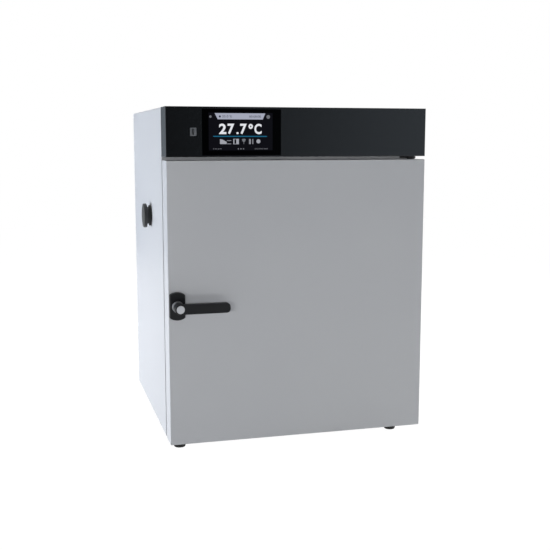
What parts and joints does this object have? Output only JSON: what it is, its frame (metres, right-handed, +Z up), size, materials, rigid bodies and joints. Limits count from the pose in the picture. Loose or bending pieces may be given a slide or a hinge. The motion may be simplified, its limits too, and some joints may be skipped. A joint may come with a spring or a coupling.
{
  "type": "laboratory drying oven",
  "caption": "Free-standing heated cabinet with a full-front door, lever handle, touch display panel, steel chamber with wire shelves, circulation fan and a plugged port in its left side.",
  "frame": {"origin": "on the floor, at the middle of the oven's whole width and depth, handle, port plug and exhaust stub included", "axes": "+Z up, -Y out of the door's face, +X to the right as one looks at the door"},
  "size_m": [0.67, 0.72, 0.85],
  "materials": {
    "light_grey_paint": "satin",
    "stainless_steel": "satin",
    "zinc_plated_steel": "satin",
    "mineral_wool": "matte",
    "black_gloss_panel": "gloss",
    "display_glass": "gloss",
    "circuit_board": "satin",
    "black_plastic": "satin",
    "grey_plastic": "satin",
    "silver_cap": "satin",
    "black_steel": "satin",
    "bearing_plastic": "satin",
    "black_silicone": "satin",
    "black_rubber": "matte",
    "aluminium": "satin",
    "nickel_plated_steel": "satin",
    "dark_silicone": "matte"
  },
  "bodies": {
    "housing": {"side_panel_left": "light_grey_paint", "side_panel_right": "light_grey_paint", "top_cover": "light_grey_paint", "rear_cover": "light_grey_paint", "base_pan": "light_grey_paint", "front_frame": "light_grey_paint", "chamber": "stainless_steel", "air_baffle": "stainless_steel", "baffle_studs": "stainless_steel", "shelf_rack_left": "stainless_steel", "shelf_rack_right": "stainless_steel", "temperature_probe": "stainless_steel", "port_tube": "stainless_steel", "exhaust_duct": "stainless_steel", "heating_elements": "stainless_steel", "electronics_tray": "zinc_plated_steel", "motor_bracket": "zinc_plated_steel", "power_supply": "zinc_plated_steel", "hinge_screws": "zinc_plated_steel", "rear_cover_screws": "zinc_plated_steel", "striker_post": "zinc_plated_steel", "fan_motor": "zinc_plated_steel", "insulation_mats": "mineral_wool", "control_panel": "black_gloss_panel", "display_glass": "display_glass", "controller_board": "circuit_board", "port_flange": "black_plastic", "power_inlet": "black_plastic", "switch_housing": "black_plastic", "solid_state_relay": "black_plastic", "safety_thermostat": "black_plastic", "display_module": "black_plastic", "hinge_bracket_top": "black_steel", "hinge_bracket_bottom": "black_steel", "foot_front_left": "black_rubber", "foot_front_right": "black_rubber", "foot_rear_left": "black_rubber", "foot_rear_right": "black_rubber", "relay_heat_sink": "aluminium", "data_socket": "nickel_plated_steel"},
    "door": {"door_shell": "light_grey_paint", "door_liner": "stainless_steel", "door_insulation": "mineral_wool", "door_gasket": "dark_silicone", "hinge_bushes": "bearing_plastic", "handle_base": "black_plastic", "handle_collar": "grey_plastic"},
    "lever": {"handle_lever": "black_plastic", "handle_cap": "silver_cap", "latch_spindle": "zinc_plated_steel", "latch_claw": "zinc_plated_steel"},
    "fan": {"fan_wheel": "zinc_plated_steel", "fan_shaft": "zinc_plated_steel"},
    "upper_shelf": {"shelf_upper": "stainless_steel"},
    "lower_shelf": {"shelf_lower": "stainless_steel"},
    "plug": {"port_plug": "black_silicone"},
    "damper": {"damper_flap": "aluminium", "damper_knob": "black_plastic"},
    "rocker": {"power_rocker": "black_plastic"}
  },
  "joints": [
    {"name": "door_hinge", "type": "hinge", "parent": "housing", "child": "door", "pos_m": [0.31, -0.273, 0.382], "axis": [0, 0, 1], "range_deg": [0, 115]},
    {"name": "lever_turn", "type": "hinge", "parent": "door", "child": "lever", "pos_m": [-0.295, -0.303, 0.382], "axis": [0, 1, 0], "range_deg": [0, 90]},
    {"name": "fan_spin", "type": "hinge", "parent": "housing", "child": "fan", "pos_m": [0.01, 0.184, 0.382], "axis": [0, 1, 0], "continuous": true},
    {"name": "upper_shelf_slide", "type": "slide", "parent": "housing", "child": "upper_shelf", "axis": [0, -1, 0], "range_m": [0, 0.046]},
    {"name": "lower_shelf_slide", "type": "slide", "parent": "housing", "child": "lower_shelf", "axis": [0, -1, 0], "range_m": [0, 0.046]},
    {"name": "port_plug_pull", "type": "slide", "parent": "housing", "child": "plug", "axis": [-1, 0, 0], "range_m": [0, 0.07]},
    {"name": "damper_turn", "type": "hinge", "parent": "housing", "child": "damper", "pos_m": [0.16, 0.34, 0.52], "axis": [1, 0, 0], "range_deg": [0, 90]},
    {"name": "main_switch", "type": "hinge", "parent": "housing", "child": "rocker", "pos_m": [-0.13, 0.327, 0.79], "axis": [1, 0, 0], "range_deg": [-20, 0]}
  ]
}
